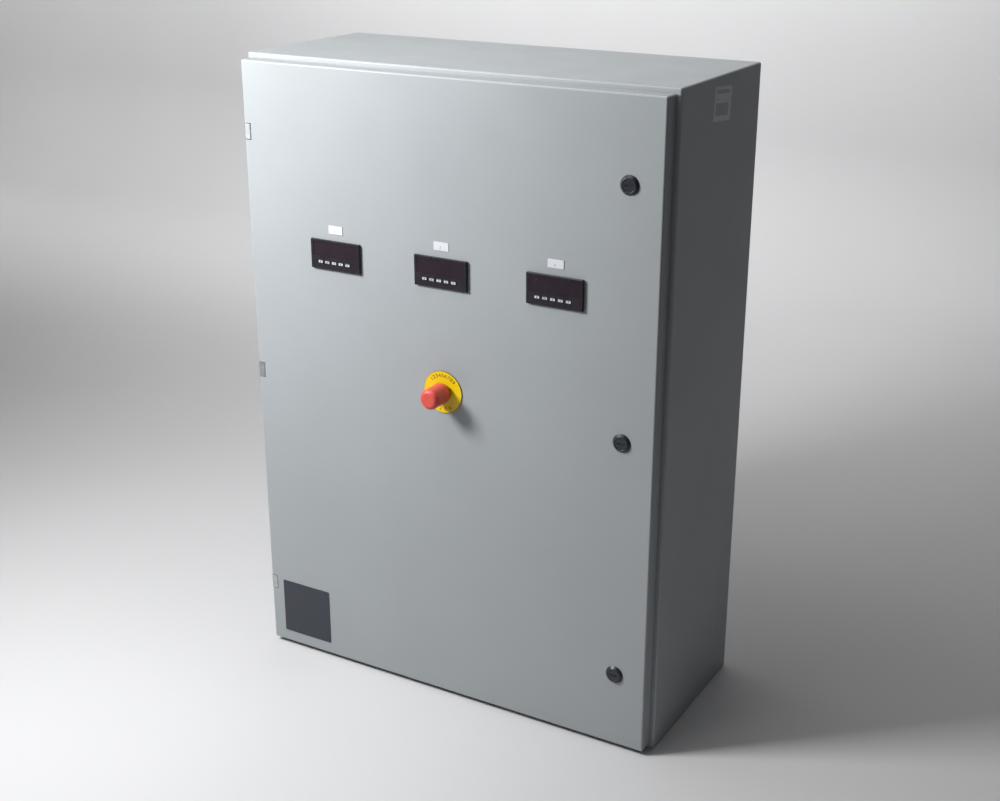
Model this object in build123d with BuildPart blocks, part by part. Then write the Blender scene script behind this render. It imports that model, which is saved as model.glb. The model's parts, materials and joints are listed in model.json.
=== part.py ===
from build123d import *
import math
import os

os.makedirs("parts", exist_ok=True)

# Enclosure body: a folded and welded steel box, open at the front.
body_w = 762.0
body_h = 1066.8
body_d = 304.8
sheet_t = 1.9
bend_r = 3.0
flange_w = 37.0
wall_hole_inset = 25.4
wall_hole_d = 11.1
cut_overrun = 2.0

# Door: a folded pan that stands in front of the flange.
door_margin = 8.0
door_depth = 27.0
door_gap = 1.6

# Door gasket: a foam ring that meets the collar round the opening.
gasket_w = 14.0
gasket_t = 8.0
gasket_clear = 0.3

# Hinges: a fixed knuckle in a notch of the door, between two ears of the door.
hinge_end_inset = 114.9
knuckle_size = 13.6
knuckle_r = 3.0
knuckle_h = 25.0
knuckle_proud = 1.2
notch_clear = 1.2
pin_d = 5.0
pin_clear = 0.05
pin_overhang = 2.5
pin_head_d = 7.4
arm_t = 4.0
foot_w = 18.0
foot_t = 3.0
ear_w = 17.0
ear_d = 10.4
ear_h = 12.0
strap_t = 3.0
strap_gap = 1.5

# Quarter-turn latches: a fixed housing, a slotted insert that turns and a cam behind it.
latch_end_inset = 128.4
latch_mid_rise = 3.5
latch_gap = 2.5
latch_base_d = 30.5
latch_face_d = 22.6
latch_proud = 4.0
latch_edge_r = 0.8
latch_recess_d = 19.0
latch_recess = 2.4
latch_barrel_d = 20.0
latch_hole_clear = 0.3
latch_nut_af = 24.0
latch_nut_t = 5.0
insert_clear = 0.1
insert_head_t = 1.8
insert_slot_w = 2.6
insert_slot_l = 13.0
insert_slot_deep = 1.2
spindle_d = 12.0
spindle_clear = 0.05
spindle_end_d = 8.0
stake_d = 11.0
stake_t = 1.5
cam_w = 16.0
cam_t = 2.5
cam_bite = 9.5
cam_gap = 0.8

# Emergency stop: a red push head on a plunger, in a bushing through the door.
column_x = 3.0
estop_drop = 498.2
legend_d = 70.0
legend_t = 1.6
bushing_d = 22.0
bushing_hole_clear = 0.25
bushing_collar_d = 29.0
bushing_collar_h = 3.0
bushing_depth = 27.0
estop_nut_af = 32.0
estop_nut_t = 6.0
push_travel = 4.0
push_spare = 0.8
plunger_d = 16.0
plunger_clear = 0.05
peg_d = 10.0
peg_len = 16.0
peg_end_gap = 0.3
head_d = 35.0
head_len = 40.0
head_tip_r = 7.5
head_rim_r = 1.2
head_waist = 0.8
skirt_clear = 1.0
contact_w = 32.0
contact_h = 44.0
contact_d = 30.0
contact_edge_r = 1.5
contact_groove = 2.0

# Panel meters: a bezel and a long case, clamped in a cut-out of the door.
meter_pitch = 200.5
meter_drop = 300.8
bezel_w = 96.5
bezel_h = 49.5
bezel_t = 3.8
bezel_corner_r = 2.0
bezel_edge = 1.0
meter_gasket_t = 1.0
meter_gasket_w = 2.4
case_w = 90.5
case_h = 43.5
case_depth = 104.0
case_edge_r = 1.5
cutout_clear = 0.75
window_w = 86.0
window_h = 24.5
window_drop = 4.0
window_t = 1.5
window_set = 0.4
window_clear = 0.1
key_w = 10.6
key_h = 6.4
key_r = 1.2
key_count = 5
key_pitch = 13.3
key_start = 19.6
key_rise = 12.7
key_proud = 0.6
key_inset = 2.0
key_travel = 0.8
key_spare = 0.4
key_clear = 0.2
clamp_t = 9.0
clamp_wall = 4.6
clamp_clear = 0.2
clamp_lug = 8.0
clamp_screw_d = 4.0
clamp_screw_len = 16.0
plug_w = 76.0
plug_h = 15.0
plug_d = 11.0
plug_ways = 12
plug_hole_d = 3.4
plug_hole_deep = 3.0

# Plates on the door: white tags over the meters and a plain dark plate.
tag_w = 26.9
tag_h = 13.3
tag_t = 0.8
tag_gap = 10.6
tag_corner_r = 0.6
plate_size = 101.6
plate_t = 0.8
plate_corner_r = 1.5
plate_side_inset = 26.5
plate_foot_inset = 22.0

# Back panel on collar studs.
panel_clear = 2.1
panel_t = 2.7
panel_standoff = 18.0
panel_stud_inset = 19.0
panel_corner_r = 6.0
stud_d = 9.5
stud_collar_d = 16.0
stud_proud = 14.0
stud_hole_clear = 0.6
stud_nut_af = 14.3
stud_nut_t = 8.3

# Mounting rails on the back panel.
rail_w = 35.0
rail_base_w = 27.0
rail_h = 7.5
rail_t = 1.0
rail_margin = 60.0
rail_first_drop = 150.0
rail_second_drop = 405.0
rail_third_drop = 640.0
row_start = 24.0
device_gap = 16.0
device_edge_r = 1.2

# Main breaker with its toggle.
breaker_w = 36.0
breaker_h = 85.0
breaker_d = 44.0
breaker_nose_h = 45.0
breaker_nose_d = 66.0
toggle_w = 20.0
toggle_hub_d = 12.0
toggle_set = 2.5
toggle_clear = 0.3
toggle_arm_l = 17.0
toggle_arm_t = 5.0
toggle_arm_w = 18.0
toggle_throw = 70.0

# Power supply.
supply_w = 62.0
supply_h = 125.0
supply_d = 112.0
supply_step_h = 22.0
supply_step_d = 18.0
supply_slots = 9
supply_slot_w = 3.0
supply_slot_pitch = 9.0
supply_slot_l = 70.0
supply_slot_deep = 2.0

# Controller and its modules.
controller_w = 140.0
module_w = 45.0
module_count = 2
module_gap = 0.4
unit_h = 100.0
unit_d = 70.0
unit_step_h = 21.0
unit_step_d = 16.0
port_w = 16.0
port_h = 13.0
port_deep = 9.0
port_edge_gap = 12.0

# Relays in their sockets.
relay_count = 6
socket_w = 27.5
socket_h = 78.0
socket_d = 26.0
socket_cheek_h = 20.0
socket_cheek_d = 34.0
relay_w = 21.5
relay_h = 28.0
relay_d = 36.0
relay_edge_r = 1.6

# Terminal blocks between two end stops.
terminal_count = 30
terminal_w = 6.0
terminal_gap = 0.2
terminal_h = 52.0
terminal_d = 44.0
terminal_screw_d = 3.6
terminal_screw_deep = 2.5
stop_w = 9.0
stop_h = 48.0
stop_d = 38.0

# Ground bar.
ground_l = 160.0
ground_h = 14.0
ground_t = 8.0
ground_rise = 48.0
ground_edge_r = 1.0
ground_ways = 8
ground_screw_d = 8.0
ground_screw_t = 4.0

# Outlines, as shares of a piece's depth from the rail and of its height about the rail.
terminal_step_share = 0.7
terminal_shares = [
    (0, -0.32), (0.34, -0.32), (0.34, -0.5), (terminal_step_share, -0.5), (terminal_step_share, -0.26),
    (1, -0.26), (1, 0.26), (terminal_step_share, 0.26), (terminal_step_share, 0.5),
    (0.34, 0.5), (0.34, 0.32), (0, 0.32),
]
stop_shares = [(0, -0.5), (0.6, -0.5), (1, -0.2), (1, 0.2), (0.6, 0.5), (0, 0.5)]
terminal_screw_share = 0.385
cam_tip_share = 0.7
contact_groove_share = 0.35

# Places worked out from the sizes.
mid_z = body_h / 2
front_y = -body_d / 2
back_in_y = body_d / 2 - sheet_t
open_w = body_w - 2 * (flange_w + sheet_t)
open_h = body_h - 2 * (flange_w + sheet_t)
door_w = body_w - 2 * door_margin
door_h = body_h - 2 * door_margin
door_y = front_y - door_gap - door_depth
door_in_y = door_y + sheet_t
door_top = mid_z + door_h / 2
collar_y = door_in_y + gasket_t + gasket_clear
gasket_in_x = (open_w + sheet_t - gasket_w) / 2

hinge_x = -door_w / 2 - knuckle_proud + knuckle_size / 2
hinge_y = door_y + knuckle_size / 2
hinge_span = door_h / 2 - hinge_end_inset
hinge_zs = [mid_z + hinge_span, mid_z, mid_z - hinge_span]
notch_x = hinge_x + knuckle_size / 2 + notch_clear
notch_h = knuckle_h + 2 * notch_clear

nut_corner = latch_nut_af / math.sqrt(3)
latch_x = gasket_in_x - latch_gap - nut_corner
latch_span = door_h / 2 - latch_end_inset
latch_zs = {"top": mid_z + latch_span, "mid": mid_z + latch_mid_rise, "low": mid_z - latch_span}
latch_spots = [(latch_x, z) for z in latch_zs.values()]
cam_y = front_y + sheet_t + cam_gap
cam_reach = open_w / 2 - latch_x + cam_bite
recess_y = door_y - latch_proud + latch_recess

estop_z = door_top - estop_drop
estop_spot = (column_x, estop_z)
collar_front_y = door_y - legend_t - bushing_collar_h
head_back_y = collar_front_y - push_travel - push_spare
skirt_y = head_back_y + bushing_collar_h
bushing_end_y = door_y + bushing_depth
plunger_end_y = bushing_end_y - push_travel - push_spare

meter_z = door_top - meter_drop
meter_xs = {"left": column_x - meter_pitch, "centre": column_x, "right": column_x + meter_pitch}
meter_spots = [(x, meter_z) for x in meter_xs.values()]
bezel_back_y = door_y - meter_gasket_t
bezel_y = bezel_back_y - bezel_t
case_end_y = door_y + case_depth
window_z = meter_z + bezel_h / 2 - window_drop - window_h / 2
key_z = meter_z - bezel_h / 2 + key_rise
key_xs = [key_start - bezel_w / 2 + i * key_pitch for i in range(key_count)]
key_pocket = key_inset + key_travel + key_spare
tag_z = meter_z + bezel_h / 2 + tag_gap + tag_h / 2

panel_w = open_w - 2 * panel_clear
panel_h = open_h - 2 * panel_clear
panel_top = mid_z + panel_h / 2
panel_back_y = back_in_y - panel_standoff
panel_y = panel_back_y - panel_t
panel_stud_w = panel_w - 2 * panel_stud_inset
panel_stud_h = panel_h - 2 * panel_stud_inset
rail_l = panel_w - 2 * rail_margin
rail_y = panel_y - rail_h
rail_zs = [panel_top - drop for drop in (rail_first_drop, rail_second_drop, rail_third_drop)]
row_x = -rail_l / 2 + row_start
breaker_x = row_x + breaker_w / 2
supply_x = breaker_x + breaker_w / 2 + device_gap + supply_w / 2
controller_x = supply_x + supply_w / 2 + device_gap + controller_w / 2
module_x = controller_x + controller_w / 2 + module_gap + module_w / 2
module_xs = [module_x + i * (module_w + module_gap) for i in range(module_count)]
socket_xs = [row_x + socket_w / 2 + i * (socket_w + module_gap) for i in range(relay_count)]
terminal_x = row_x + stop_w + terminal_gap
terminal_xs = [terminal_x + i * (terminal_w + terminal_gap) for i in range(terminal_count)]
toggle_y = rail_y - breaker_nose_d + toggle_set
ground_z = mid_z - panel_h / 2 + ground_rise


def facing(y):
    """A plane at depth y that faces the viewer: right is +X, up is +Z, and it looks towards -Y."""
    return Plane((0, y, 0), x_dir=(1, 0, 0), z_dir=(0, -1, 0))


def turning(spot):
    """A level plane through a spot of the door, for profiles that turn about the line along Y there."""
    return Plane((spot[0], 0, spot[1]), x_dir=(1, 0, 0), z_dir=(0, 0, 1))


def rail_outline(shares, z, depth, height):
    """Points of a device's side outline on a rail at height z, as (y, z)."""
    return [(rail_y - d * depth, z + h * height) for d, h in shares]


def keep(piece, name):
    """Name a finished piece and write it."""
    piece.label = name
    export_step(piece, f"parts/{name}.step")


# Enclosure body: outer folds, the inside, the door opening, the collar round it and the wall holes.
with BuildPart() as enclosure_shell:
    with BuildSketch(facing(front_y)):
        with Locations((0, mid_z)):
            Rectangle(body_w, body_h)
    extrude(amount=-body_d)
    fillet(enclosure_shell.edges(), radius=bend_r)
    with BuildSketch(facing(front_y + sheet_t)):
        with Locations((0, mid_z)):
            RectangleRounded(body_w - 2 * sheet_t, body_h - 2 * sheet_t, bend_r - sheet_t)
    extrude(amount=-(body_d - 2 * sheet_t), mode=Mode.SUBTRACT)
    with BuildSketch(facing(front_y - cut_overrun)):
        with Locations((0, mid_z)):
            Rectangle(open_w, open_h)
    extrude(amount=-(sheet_t + 2 * cut_overrun), mode=Mode.SUBTRACT)
    with BuildSketch(facing(front_y + sheet_t)):
        with Locations((0, mid_z)):
            Rectangle(open_w + 2 * sheet_t, open_h + 2 * sheet_t)
            Rectangle(open_w, open_h, mode=Mode.SUBTRACT)
    extrude(amount=front_y + sheet_t - collar_y)
    with BuildSketch(facing(back_in_y - cut_overrun)):
        with Locations((0, mid_z)):
            with GridLocations(body_w - 2 * wall_hole_inset, body_h - 2 * wall_hole_inset, 2, 2):
                Circle(wall_hole_d / 2)
    extrude(amount=-(sheet_t + 2 * cut_overrun), mode=Mode.SUBTRACT)
keep(enclosure_shell.part, "enclosure_shell")

# Hinge brackets: a foot on the flange, an arm and the knuckle that shows in the door's notch.
with BuildPart() as hinge_brackets:
    for z in hinge_zs:
        with BuildSketch(Plane.XY.offset(z - knuckle_h / 2)):
            with Locations((hinge_x, hinge_y)):
                RectangleRounded(knuckle_size, knuckle_size, knuckle_r)
                Rectangle(arm_t, front_y - hinge_y, align=(Align.CENTER, Align.MIN))
            with Locations((hinge_x - arm_t / 2, front_y)):
                Rectangle(foot_w, foot_t, align=(Align.MIN, Align.MAX))
            with Locations((hinge_x, hinge_y)):
                Circle(pin_d / 2, mode=Mode.SUBTRACT)
        extrude(amount=knuckle_h)
keep(hinge_brackets.part, "hinge_brackets")

# Hinge pins, fixed in the knuckles, with a head on top.
pin_half = notch_h / 2 + ear_h + pin_overhang
with BuildPart() as hinge_pins:
    for z in hinge_zs:
        with BuildSketch(Plane.XY.offset(z - pin_half)):
            with Locations((hinge_x, hinge_y)):
                Circle(pin_d / 2)
        extrude(amount=2 * pin_half)
        with BuildSketch(Plane.XY.offset(z + pin_half)):
            with Locations((hinge_x, hinge_y)):
                Circle(pin_head_d / 2)
        extrude(amount=pin_overhang)
keep(hinge_pins.part, "hinge_pins")

# Hinge ears: two bored blocks joined by a strap, welded inside the door beside each notch.
ear_x = -door_w / 2 + sheet_t
strap_x = notch_x + strap_gap
with BuildPart() as hinge_ears:
    for z in hinge_zs:
        for base_z in (z + notch_h / 2, z - notch_h / 2 - ear_h):
            with BuildSketch(Plane.XY.offset(base_z)):
                with Locations((ear_x, door_in_y)):
                    Rectangle(ear_w, ear_d, align=(Align.MIN, Align.MIN))
                with Locations((hinge_x, hinge_y)):
                    Circle(pin_d / 2 + pin_clear, mode=Mode.SUBTRACT)
            extrude(amount=ear_h)
        with BuildSketch(Plane.XY.offset(z - notch_h / 2)):
            with Locations((strap_x, door_in_y)):
                Rectangle(ear_x + ear_w - strap_x, strap_t, align=(Align.MIN, Align.MIN))
        extrude(amount=notch_h)
keep(hinge_ears.part, "hinge_ears")

# Door: a pan folded from one sheet, with hinge notches and cut-outs for what it carries.
with BuildPart() as door_panel:
    with BuildSketch(facing(door_y)):
        with Locations((0, mid_z)):
            Rectangle(door_w, door_h)
    extrude(amount=-door_depth)
    rings = door_panel.edges().group_by(Axis.Y)
    fillet(rings[0] + rings[1], radius=bend_r)
    with BuildSketch(facing(door_in_y)):
        with Locations((0, mid_z)):
            RectangleRounded(door_w - 2 * sheet_t, door_h - 2 * sheet_t, bend_r - sheet_t)
    extrude(amount=-door_depth, mode=Mode.SUBTRACT)
    with BuildSketch(facing(door_y - cut_overrun)):
        for z in hinge_zs:
            with Locations((notch_x, z)):
                Rectangle(notch_x + door_w / 2 + cut_overrun, notch_h, align=(Align.MAX, Align.CENTER))
    extrude(amount=-(door_depth + 2 * cut_overrun), mode=Mode.SUBTRACT)
    with BuildSketch(facing(door_y - cut_overrun)):
        with Locations(*meter_spots):
            Rectangle(case_w + 2 * cutout_clear, case_h + 2 * cutout_clear)
        with Locations(estop_spot):
            Circle(bushing_d / 2 + bushing_hole_clear)
        with Locations(*latch_spots):
            Circle(latch_barrel_d / 2 + latch_hole_clear)
    extrude(amount=-(sheet_t + 2 * cut_overrun), mode=Mode.SUBTRACT)
keep(door_panel.part, "door_panel")

# Door gasket: a foam ring in front of the collar.
with BuildPart() as door_gasket:
    with BuildSketch(facing(door_in_y)):
        with Locations((0, mid_z)):
            Rectangle(open_w + sheet_t + gasket_w, open_h + sheet_t + gasket_w)
            Rectangle(open_w + sheet_t - gasket_w, open_h + sheet_t - gasket_w, mode=Mode.SUBTRACT)
    extrude(amount=-gasket_t)
keep(door_gasket.part, "door_gasket")

# Latch housings: a tapered round face with a raised rim, and a bored barrel through the door.
face_y = door_y - latch_proud
barrel_end_y = cam_y - insert_clear
bore_r = spindle_d / 2 + spindle_clear
housing_outline = [
    (bore_r, recess_y),
    (latch_recess_d / 2, recess_y),
    (latch_recess_d / 2, face_y),
    (latch_face_d / 2, face_y),
    (latch_base_d / 2, door_y),
    (latch_barrel_d / 2, door_y),
    (latch_barrel_d / 2, barrel_end_y),
    (bore_r, barrel_end_y),
]
with BuildPart() as latch_housings:
    for x, z in latch_spots:
        with BuildSketch(turning((x, z))):
            with BuildLine():
                Polyline(*housing_outline, close=True)
            make_face()
        revolve(axis=Axis((x, 0, z), (0, 1, 0)))
    fillet(latch_housings.edges().group_by(Axis.Y)[0], radius=latch_edge_r)
keep(latch_housings.part, "latch_housings")

# Latch nuts, which clamp the housings to the door from inside.
with BuildPart() as latch_nuts:
    with BuildSketch(facing(door_in_y)):
        with Locations(*latch_spots):
            RegularPolygon(nut_corner, 6)
            Circle(latch_barrel_d / 2, mode=Mode.SUBTRACT)
    extrude(amount=-latch_nut_t)
keep(latch_nuts.part, "latch_nuts")

# Latch inserts and cams, one pair for each latch. At rest the slot lies level and the cam hangs down.
head_front_y = recess_y - insert_clear - insert_head_t
for name, z in latch_zs.items():
    with BuildPart() as latch_insert:
        with BuildSketch(facing(head_front_y)):
            with Locations((latch_x, z)):
                Circle(latch_recess_d / 2 - insert_clear)
        extrude(amount=-insert_head_t)
        with BuildSketch(facing(head_front_y)):
            with Locations((latch_x, z)):
                Circle(spindle_d / 2)
        extrude(amount=-(cam_y - head_front_y))
        with BuildSketch(facing(cam_y)):
            with Locations((latch_x, z)):
                Circle(spindle_end_d / 2)
        extrude(amount=-cam_t)
        with BuildSketch(facing(cam_y + cam_t)):
            with Locations((latch_x, z)):
                Circle(stake_d / 2)
        extrude(amount=-stake_t)
        with BuildSketch(facing(head_front_y + insert_slot_deep)):
            with Locations((latch_x, z)):
                SlotOverall(insert_slot_l, insert_slot_w)
        extrude(amount=insert_slot_deep + cut_overrun, mode=Mode.SUBTRACT)
    keep(latch_insert.part, f"latch_insert_{name}")

    with BuildPart() as latch_cam:
        with BuildSketch(facing(cam_y)):
            with Locations((latch_x, z)):
                Circle(cam_w / 2)
                Rectangle(cam_w, cam_reach, align=(Align.CENTER, Align.MAX))
                Circle(spindle_end_d / 2, mode=Mode.SUBTRACT)
        extrude(amount=-cam_t)
        tip = latch_cam.faces().sort_by(Axis.Z)[0]
        chamfer(tip.edges().filter_by(Axis.X).sort_by(Axis.Y)[0], length=cam_t * cam_tip_share)
    keep(latch_cam.part, f"latch_cam_{name}")

# Emergency stop: the legend plate under the bushing's collar.
with BuildPart() as estop_legend_plate:
    with BuildSketch(facing(door_y)):
        with Locations(estop_spot):
            Circle(legend_d / 2)
            Circle(bushing_d / 2, mode=Mode.SUBTRACT)
    extrude(amount=legend_t)
keep(estop_legend_plate.part, "estop_legend_plate")

# Emergency stop bushing: a collar in front, a barrel through the door and a bore for the plunger.
with BuildPart() as estop_bushing:
    with BuildSketch(facing(collar_front_y)):
        with Locations(estop_spot):
            Circle(bushing_collar_d / 2)
    extrude(amount=-bushing_collar_h)
    with BuildSketch(facing(collar_front_y)):
        with Locations(estop_spot):
            Circle(bushing_d / 2)
    extrude(amount=-(bushing_end_y - collar_front_y))
    with BuildSketch(facing(collar_front_y - cut_overrun)):
        with Locations(estop_spot):
            Circle(plunger_d / 2 + plunger_clear)
    extrude(amount=-(bushing_end_y - collar_front_y + 2 * cut_overrun), mode=Mode.SUBTRACT)
keep(estop_bushing.part, "estop_bushing")

# Emergency stop lock nut inside the door.
with BuildPart() as estop_locknut:
    with BuildSketch(facing(door_in_y)):
        with Locations(estop_spot):
            RegularPolygon(estop_nut_af / math.sqrt(3), 6)
            Circle(bushing_d / 2, mode=Mode.SUBTRACT)
    extrude(amount=-estop_nut_t)
keep(estop_locknut.part, "estop_locknut")

# Emergency stop contact block, seated on the bushing's end, with a groove round its middle.
with BuildPart() as estop_contact_block:
    with BuildSketch(facing(bushing_end_y)):
        with Locations(estop_spot):
            RectangleRounded(contact_w, contact_h, contact_edge_r)
    extrude(amount=-contact_d)
    with BuildSketch(facing(bushing_end_y + contact_d * contact_groove_share)):
        with Locations(estop_spot):
            Rectangle(contact_w + 2 * cut_overrun, contact_h + 2 * cut_overrun)
            Rectangle(contact_w - 2 * contact_groove, contact_h - 2 * contact_groove, mode=Mode.SUBTRACT)
    extrude(amount=-contact_groove, mode=Mode.SUBTRACT)
keep(estop_contact_block.part, "estop_contact_block")

# Emergency stop plunger: slides in the bushing and carries the head on a peg.
with BuildPart() as estop_plunger:
    with BuildSketch(facing(head_back_y)):
        with Locations(estop_spot):
            Circle(plunger_d / 2)
    extrude(amount=-(plunger_end_y - head_back_y))
    with BuildSketch(facing(head_back_y)):
        with Locations(estop_spot):
            Circle(peg_d / 2)
    extrude(amount=peg_len)
keep(estop_plunger.part, "estop_plunger")

# Emergency stop head: a long red button with a slight waist, a domed tip, a skirt that comes down
# round the bushing's collar and a bore for the peg.
head_tip_y = skirt_y - head_len
with BuildPart() as estop_head:
    with BuildSketch(turning(estop_spot)):
        with BuildLine():
            Line((0, skirt_y), (head_d / 2, skirt_y))
            ThreePointArc(
                (head_d / 2, skirt_y),
                (head_d / 2 - head_waist, skirt_y - head_len / 2),
                (head_d / 2, head_tip_y),
            )
            Line((head_d / 2, head_tip_y), (0, head_tip_y))
            Line((0, head_tip_y), (0, skirt_y))
        make_face()
    revolve(axis=Axis((column_x, 0, estop_z), (0, 1, 0)))
    rims = estop_head.edges().filter_by(GeomType.CIRCLE).sort_by(Axis.Y)
    fillet(rims[0], radius=head_tip_r)
    fillet(estop_head.edges().filter_by(GeomType.CIRCLE).sort_by(Axis.Y)[-1], radius=head_rim_r)
    with BuildSketch(facing(skirt_y)):
        with Locations(estop_spot):
            Circle(bushing_collar_d / 2 + skirt_clear)
    extrude(amount=bushing_collar_h + peg_end_gap, mode=Mode.SUBTRACT)
    with BuildSketch(facing(head_back_y)):
        with Locations(estop_spot):
            Circle(peg_d / 2 + plunger_clear)
    extrude(amount=peg_len + peg_end_gap, mode=Mode.SUBTRACT)
keep(estop_head.part, "estop_head")

# Meter cases: bezel and case in one moulding, with a window recess and pockets for the keys.
for side, x in meter_xs.items():
    with BuildPart() as meter_case:
        with BuildSketch(facing(bezel_back_y)):
            with Locations((x, meter_z)):
                RectangleRounded(bezel_w, bezel_h, bezel_corner_r)
        extrude(amount=bezel_t)
        chamfer(meter_case.faces().sort_by(Axis.Y)[0].edges(), length=bezel_edge)
        with BuildSketch(facing(bezel_back_y)):
            with Locations((x, meter_z)):
                RectangleRounded(case_w, case_h, case_edge_r)
        extrude(amount=-(case_end_y - bezel_back_y))
        with BuildSketch(facing(bezel_y + window_set + window_t)):
            with Locations((x, window_z)):
                Rectangle(window_w, window_h)
        extrude(amount=window_set + window_t + cut_overrun, mode=Mode.SUBTRACT)
        with BuildSketch(facing(bezel_y + key_pocket)):
            with Locations(*[(x + key_x, key_z) for key_x in key_xs]):
                RectangleRounded(key_w + 2 * key_clear, key_h + 2 * key_clear, key_r + key_clear)
        extrude(amount=key_pocket + cut_overrun, mode=Mode.SUBTRACT)
    keep(meter_case.part, f"meter_{side}_case")

    for number, key_x in enumerate(key_xs, 1):
        with BuildPart() as meter_key:
            with BuildSketch(facing(bezel_y + key_inset)):
                with Locations((x + key_x, key_z)):
                    RectangleRounded(key_w, key_h, key_r)
            extrude(amount=key_inset + key_proud)
            fillet(meter_key.faces().sort_by(Axis.Y)[0].edges(), radius=key_proud / 2)
        keep(meter_key.part, f"meter_{side}_key_{number}")

# Meter windows, set just below the bezels' faces.
with BuildPart() as meter_windows:
    with BuildSketch(facing(bezel_y + window_set)):
        with Locations(*[(x, window_z) for x in meter_xs.values()]):
            Rectangle(window_w - 2 * window_clear, window_h - 2 * window_clear)
    extrude(amount=-window_t)
keep(meter_windows.part, "meter_windows")

# Meter gaskets between the bezels and the door.
with BuildPart() as meter_gaskets:
    with BuildSketch(facing(door_y)):
        with Locations(*meter_spots):
            Rectangle(case_w + 2 * meter_gasket_w, case_h + 2 * meter_gasket_w)
            RectangleRounded(case_w, case_h, case_edge_r, mode=Mode.SUBTRACT)
    extrude(amount=meter_gasket_t)
keep(meter_gaskets.part, "meter_gaskets")

# Meter clamps: a frame round each case against the door, with a lug and a screw at each end.
clamp_in_w = case_w + 2 * clamp_clear
clamp_in_h = case_h + 2 * clamp_clear
lug_x = clamp_in_w / 2 + clamp_wall + clamp_lug / 2
with BuildPart() as meter_clamps:
    with BuildSketch(facing(door_in_y)):
        with Locations(*meter_spots):
            Rectangle(clamp_in_w + 2 * clamp_wall, clamp_in_h + 2 * clamp_wall)
            Rectangle(clamp_in_w + 2 * (clamp_wall + clamp_lug), clamp_lug)
            RectangleRounded(clamp_in_w, clamp_in_h, case_edge_r, mode=Mode.SUBTRACT)
            with GridLocations(2 * lug_x, 0, 2, 1):
                Circle(clamp_screw_d / 2, mode=Mode.SUBTRACT)
    extrude(amount=-clamp_t)
keep(meter_clamps.part, "meter_clamps")

with BuildPart() as meter_clamp_screws:
    with BuildSketch(facing(door_in_y)):
        with Locations(*meter_spots):
            with GridLocations(2 * lug_x, 0, 2, 1):
                Circle(clamp_screw_d / 2)
    extrude(amount=-clamp_screw_len)
keep(meter_clamp_screws.part, "meter_clamp_screws")

# Meter terminal plugs on the back of each case, with a row of screw holes.
with BuildPart() as meter_terminals:
    with BuildSketch(facing(case_end_y)):
        with Locations(*meter_spots):
            Rectangle(plug_w, plug_h)
    extrude(amount=-plug_d)
    with BuildSketch(facing(case_end_y + plug_d - plug_hole_deep)):
        with Locations(*meter_spots):
            with GridLocations(plug_w / plug_ways, 0, plug_ways, 1):
                Circle(plug_hole_d / 2)
    extrude(amount=-(plug_hole_deep + cut_overrun), mode=Mode.SUBTRACT)
keep(meter_terminals.part, "meter_terminals")

# White tags above the meters.
with BuildPart() as meter_tags:
    with BuildSketch(facing(door_y)):
        with Locations(*[(x, tag_z) for x in meter_xs.values()]):
            RectangleRounded(tag_w, tag_h, tag_corner_r)
    extrude(amount=tag_t)
keep(meter_tags.part, "meter_tags")

# Plain dark plate at the door's lower left.
with BuildPart() as door_plate:
    with BuildSketch(facing(door_y)):
        with Locations((-door_w / 2 + plate_side_inset, mid_z - door_h / 2 + plate_foot_inset)):
            RectangleRounded(plate_size, plate_size, plate_corner_r, align=(Align.MIN, Align.MIN))
    extrude(amount=plate_t)
keep(door_plate.part, "door_plate")

# Back panel, with clearance holes for its studs.
with BuildPart() as back_panel:
    with BuildSketch(facing(panel_y)):
        with Locations((0, mid_z)):
            RectangleRounded(panel_w, panel_h, panel_corner_r)
            with GridLocations(panel_stud_w, panel_stud_h, 2, 2):
                Circle(stud_d / 2 + stud_hole_clear, mode=Mode.SUBTRACT)
    extrude(amount=-panel_t)
keep(back_panel.part, "back_panel")

# Panel studs: a collar that spaces the panel off the back, and a stud through it.
with BuildPart() as panel_studs:
    with BuildSketch(facing(panel_back_y)):
        with Locations((0, mid_z)):
            with GridLocations(panel_stud_w, panel_stud_h, 2, 2):
                Circle(stud_collar_d / 2)
    extrude(amount=-panel_standoff)
    with BuildSketch(facing(panel_back_y)):
        with Locations((0, mid_z)):
            with GridLocations(panel_stud_w, panel_stud_h, 2, 2):
                Circle(stud_d / 2)
    extrude(amount=panel_t + stud_proud)
keep(panel_studs.part, "panel_studs")

# Panel nuts.
with BuildPart() as panel_nuts:
    with BuildSketch(facing(panel_y)):
        with Locations((0, mid_z)):
            with GridLocations(panel_stud_w, panel_stud_h, 2, 2):
                RegularPolygon(stud_nut_af / math.sqrt(3), 6)
                Circle(stud_d / 2, mode=Mode.SUBTRACT)
    extrude(amount=stud_nut_t)
keep(panel_nuts.part, "panel_nuts")

# Mounting rails: a top-hat section along X.
rail_lip_w = (rail_w - rail_base_w) / 2 + rail_t
with BuildPart() as mounting_rails:
    with BuildSketch(Plane.YZ.offset(-rail_l / 2)):
        for z in rail_zs:
            with Locations((panel_y, z)):
                Rectangle(rail_t, rail_base_w, align=(Align.MAX, Align.CENTER))
            for way in (-1, 1):
                with Locations((panel_y, z + way * (rail_base_w - rail_t) / 2)):
                    Rectangle(rail_h, rail_t, align=(Align.MAX, Align.CENTER))
                with Locations((rail_y, z + way * (rail_w - rail_lip_w) / 2)):
                    Rectangle(rail_t, rail_lip_w, align=(Align.MIN, Align.CENTER))
    extrude(amount=rail_l)
keep(mounting_rails.part, "mounting_rails")

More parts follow.
